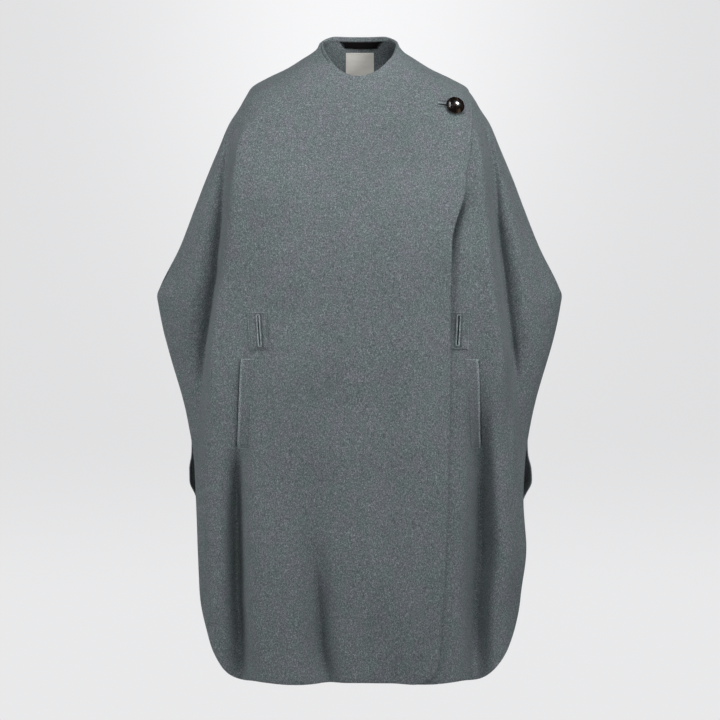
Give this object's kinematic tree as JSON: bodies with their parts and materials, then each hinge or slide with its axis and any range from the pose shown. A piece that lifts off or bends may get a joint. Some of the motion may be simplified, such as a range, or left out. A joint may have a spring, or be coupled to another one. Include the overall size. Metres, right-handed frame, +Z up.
{
  "type": "wool cape coat",
  "caption": "Long wool cape coat, filled out as worn: collarless neck, batwing shoulders, front wrapped over to one shoulder button, welt pockets, belt slits and curved side slits.",
  "frame": {"origin": "midway between the wearer's shoulders at the height of the base of the neck, where the coat is held up", "axes": "+Z up, the front faces -Y, +X is the wearer's left"},
  "size_m": [0.7098, 0.3071, 1.1231],
  "materials": {
    "wool": "brushed teal-grey wool melange",
    "thread": "dark sewing thread",
    "horn": "polished dark horn",
    "tape": "black twill tape",
    "label": "cream woven label, blank"
  },
  "bodies": {
    "root": {"front_right": "wool", "front_left": "wool", "back_right": "wool", "back_left": "wool", "neck_band_back": "wool", "neck_band_front": "wool", "pocket_welt_right": "wool", "pocket_welt_left": "wool", "belt_slit_right": "wool", "belt_slit_left": "wool", "buttonhole": "thread", "button": "horn", "hanger_loop": "tape", "neck_label": "label"}
  },
  "joints": []
}
